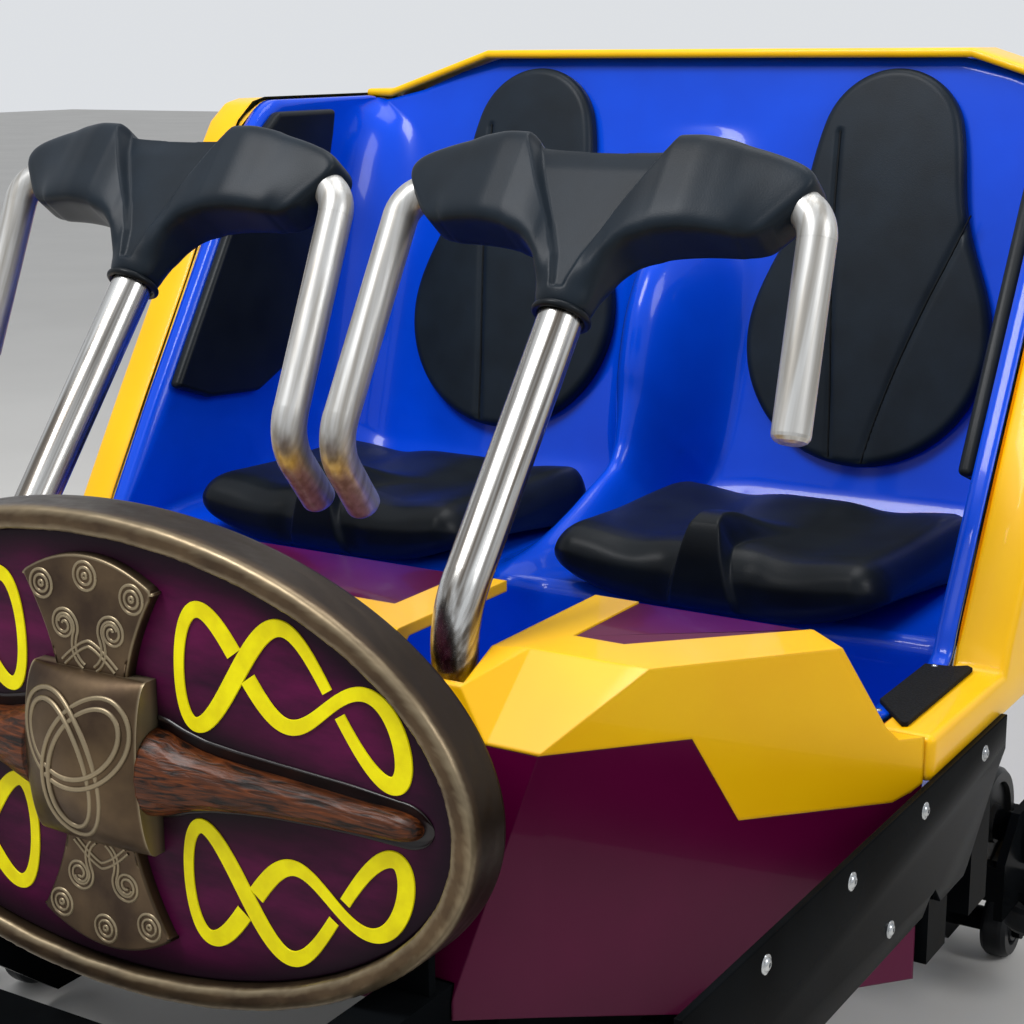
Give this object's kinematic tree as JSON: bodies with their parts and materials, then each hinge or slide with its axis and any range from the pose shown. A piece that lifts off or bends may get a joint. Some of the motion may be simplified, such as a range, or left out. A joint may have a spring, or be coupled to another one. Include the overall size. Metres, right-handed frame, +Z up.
{
  "type": "roller coaster car",
  "caption": "Two-seat roller coaster car with a moulded tub, T-shaped lap restraints and an oval ornamental front shield.",
  "frame": {"origin": "on the floor under the middle of the car's box", "axes": "+Z up, the front of the car faces -Y, +X is the riders' left"},
  "size_m": [1.48, 1.88, 1.314],
  "materials": {
    "black_steel": "black gloss powder coat on steel",
    "maroon_gelcoat": "high gloss maroon gelcoat",
    "yellow_gelcoat": "satin gloss yellow gelcoat",
    "blue_gelcoat": "high gloss royal blue gelcoat",
    "black_foam": "black integral skin polyurethane foam with a fine grain",
    "grip_rubber": "anti-slip rubber sheet",
    "bronze_resin": "cast resin with an aged bronze coat",
    "maroon_board": "mottled maroon paint on a moulded board",
    "dark_wood": "carved and varnished dark wood",
    "wheel_pu": "polyurethane tread on an alloy hub",
    "stainless": "brushed stainless steel tube",
    "pan_steel": "dark grey painted sheet steel"
  },
  "bodies": {
    "car": {"chassis_frame": "black_steel", "floor_pan": "pan_steel", "skirt_plate_left": "black_steel", "skirt_plate_right": "black_steel", "nose_shell": "maroon_gelcoat", "cowl_left": "yellow_gelcoat", "cowl_right": "yellow_gelcoat", "knee_deck": "maroon_gelcoat", "seat_tub": "blue_gelcoat", "side_panel_left": "yellow_gelcoat", "side_panel_right": "yellow_gelcoat", "back_cover": "blue_gelcoat", "top_trim": "yellow_gelcoat", "step_pads": "grip_rubber", "side_pads": "black_foam", "back_pad_left": "black_foam", "back_pad_right": "black_foam", "seat_cushion_left": "black_foam", "seat_cushion_right": "black_foam", "shield_board": "maroon_board", "shield_rim": "bronze_resin", "shield_strap": "bronze_resin", "shield_bar": "dark_wood", "shield_bracket": "black_steel", "front_axle": "black_steel", "rear_axle": "black_steel", "rear_drawbar": "black_steel", "restraint_pivots": "black_steel", "wheel_carrier_fl": "black_steel", "wheel_carrier_fr": "black_steel", "wheel_carrier_rl": "black_steel", "wheel_carrier_rr": "black_steel"},
    "load_wheel_fl": {"load_wheel_fl": "wheel_pu"},
    "guide_wheel_fl": {"guide_wheel_fl": "wheel_pu"},
    "upstop_wheel_fl": {"upstop_wheel_fl": "wheel_pu"},
    "load_wheel_fr": {"load_wheel_fr": "wheel_pu"},
    "guide_wheel_fr": {"guide_wheel_fr": "wheel_pu"},
    "upstop_wheel_fr": {"upstop_wheel_fr": "wheel_pu"},
    "load_wheel_rl": {"load_wheel_rl": "wheel_pu"},
    "guide_wheel_rl": {"guide_wheel_rl": "wheel_pu"},
    "upstop_wheel_rl": {"upstop_wheel_rl": "wheel_pu"},
    "load_wheel_rr": {"load_wheel_rr": "wheel_pu"},
    "guide_wheel_rr": {"guide_wheel_rr": "wheel_pu"},
    "upstop_wheel_rr": {"upstop_wheel_rr": "wheel_pu"},
    "restraint_left": {"restraint_post_left": "stainless", "grab_tubes_left": "stainless", "restraint_head_left": "black_foam"},
    "restraint_right": {"restraint_post_right": "stainless", "grab_tubes_right": "stainless", "restraint_head_right": "black_foam"}
  },
  "joints": [
    {"name": "load_spin_fl", "type": "hinge", "parent": "car", "child": "load_wheel_fl", "pos_m": [0.59, -0.5, 0.259], "axis": [1, 0, 0], "continuous": true},
    {"name": "guide_spin_fl", "type": "hinge", "parent": "car", "child": "guide_wheel_fl", "pos_m": [0.679, -0.5, 0.141], "axis": [0, 0, 1], "continuous": true},
    {"name": "upstop_spin_fl", "type": "hinge", "parent": "car", "child": "upstop_wheel_fl", "pos_m": [0.59, -0.37, 0.05], "axis": [1, 0, 0], "continuous": true},
    {"name": "load_spin_fr", "type": "hinge", "parent": "car", "child": "load_wheel_fr", "pos_m": [-0.59, -0.5, 0.259], "axis": [1, 0, 0], "continuous": true},
    {"name": "guide_spin_fr", "type": "hinge", "parent": "car", "child": "guide_wheel_fr", "pos_m": [-0.679, -0.5, 0.141], "axis": [0, 0, 1], "continuous": true},
    {"name": "upstop_spin_fr", "type": "hinge", "parent": "car", "child": "upstop_wheel_fr", "pos_m": [-0.59, -0.37, 0.05], "axis": [1, 0, 0], "continuous": true},
    {"name": "load_spin_rl", "type": "hinge", "parent": "car", "child": "load_wheel_rl", "pos_m": [0.59, 0.3, 0.259], "axis": [1, 0, 0], "continuous": true},
    {"name": "guide_spin_rl", "type": "hinge", "parent": "car", "child": "guide_wheel_rl", "pos_m": [0.679, 0.3, 0.141], "axis": [0, 0, 1], "continuous": true},
    {"name": "upstop_spin_rl", "type": "hinge", "parent": "car", "child": "upstop_wheel_rl", "pos_m": [0.59, 0.43, 0.05], "axis": [1, 0, 0], "continuous": true},
    {"name": "load_spin_rr", "type": "hinge", "parent": "car", "child": "load_wheel_rr", "pos_m": [-0.59, 0.3, 0.259], "axis": [1, 0, 0], "continuous": true},
    {"name": "guide_spin_rr", "type": "hinge", "parent": "car", "child": "guide_wheel_rr", "pos_m": [-0.679, 0.3, 0.141], "axis": [0, 0, 1], "continuous": true},
    {"name": "upstop_spin_rr", "type": "hinge", "parent": "car", "child": "upstop_wheel_rr", "pos_m": [-0.59, 0.43, 0.05], "axis": [1, 0, 0], "continuous": true},
    {"name": "restraint_hinge_left", "type": "hinge", "parent": "car", "child": "restraint_left", "pos_m": [0.31, -0.6, 0.48], "axis": [-1, 0, 0], "range_deg": [0, 35]},
    {"name": "restraint_hinge_right", "type": "hinge", "parent": "car", "child": "restraint_right", "pos_m": [-0.31, -0.6, 0.48], "axis": [-1, 0, 0], "range_deg": [0, 35]}
  ]
}
